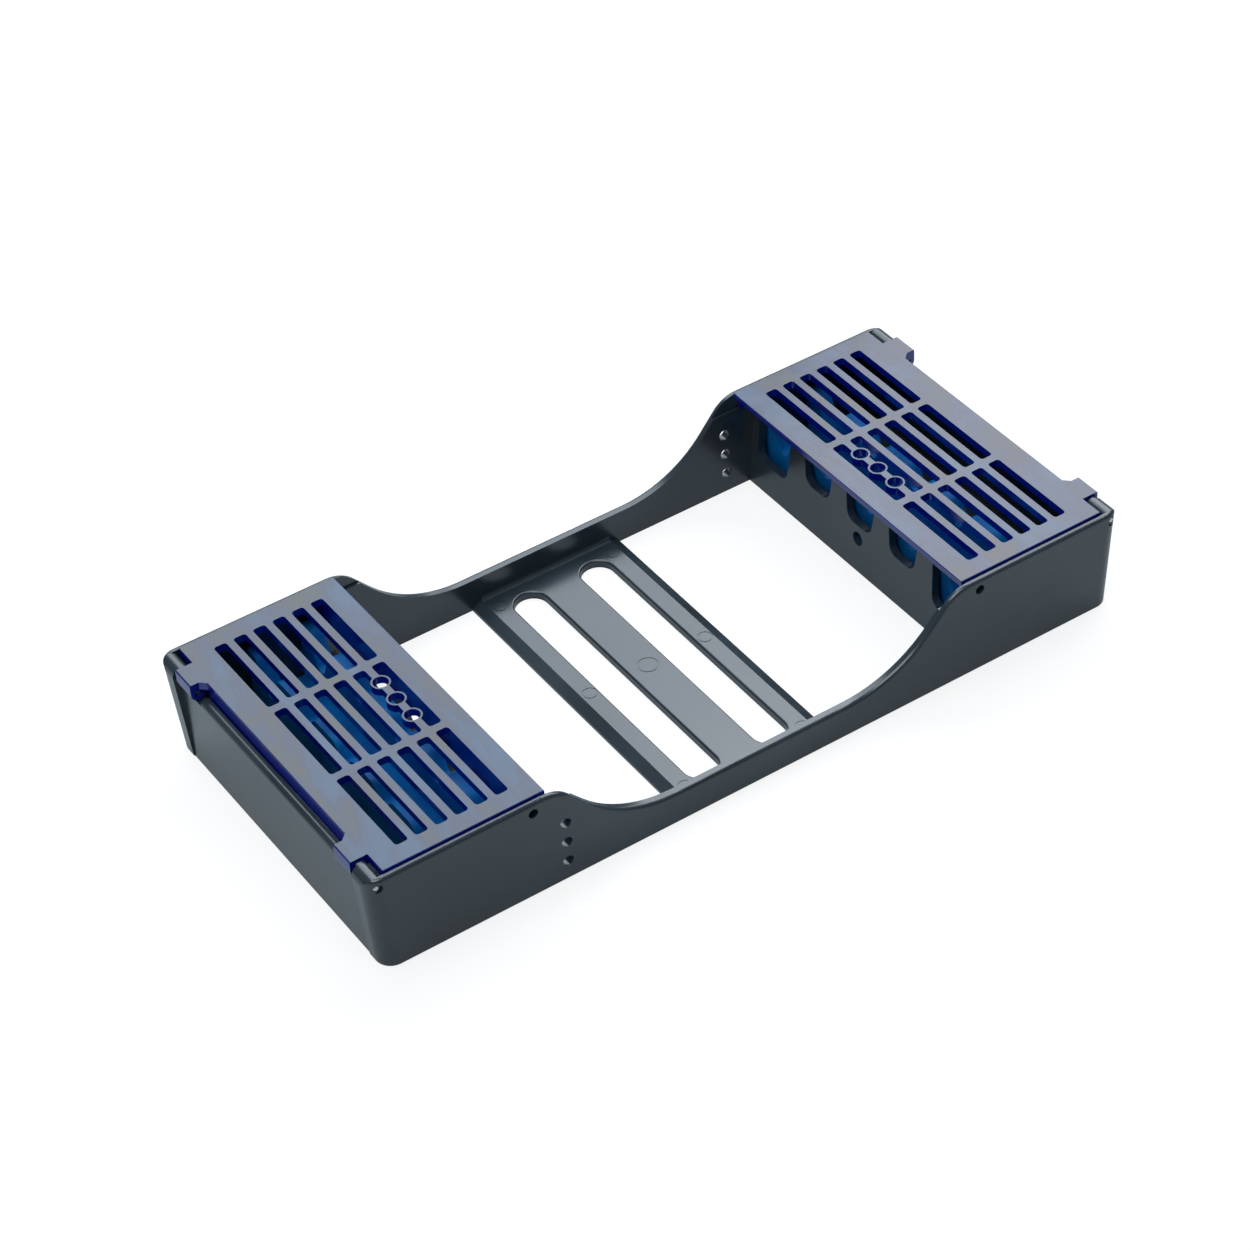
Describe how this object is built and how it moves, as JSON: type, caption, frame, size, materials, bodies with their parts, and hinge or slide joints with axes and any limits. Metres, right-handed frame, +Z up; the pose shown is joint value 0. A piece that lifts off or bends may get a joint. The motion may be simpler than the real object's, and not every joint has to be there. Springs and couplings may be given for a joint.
{
  "type": "dental instrument cassette",
  "caption": "Open rectangular cassette for dental hand instruments, with a tray and hinged grille lid at each end, soft notched racks and a slotted centre plate.",
  "frame": {"origin": "centre of the flat underside", "axes": "+X along the length to the right tray, +Y across the width to the far side, +Z up"},
  "size_m": [0.2018, 0.092, 0.0275],
  "materials": {
    "base_grey": "moulded, satin",
    "lid_blue": "moulded, polished",
    "rack_silicone": "soft silicone",
    "pin_steel": "ground"
  },
  "bodies": {
    "base": {"base_frame": "base_grey", "rack_left": "rack_silicone", "rack_right": "rack_silicone", "pin_left_near": "pin_steel", "pin_left_far": "pin_steel", "pin_right_near": "pin_steel", "pin_right_far": "pin_steel"},
    "left_lid": {"lid_left": "lid_blue"},
    "right_lid": {"lid_right": "lid_blue"}
  },
  "joints": [
    {"name": "left_lid_hinge", "type": "hinge", "parent": "base", "child": "left_lid", "pos_m": [-0.09858, 0, 0.02455], "axis": [0, -1, 0], "range_deg": [0, 100]},
    {"name": "right_lid_hinge", "type": "hinge", "parent": "base", "child": "right_lid", "pos_m": [0.09858, 0, 0.02455], "axis": [0, 1, 0], "range_deg": [0, 100]}
  ]
}
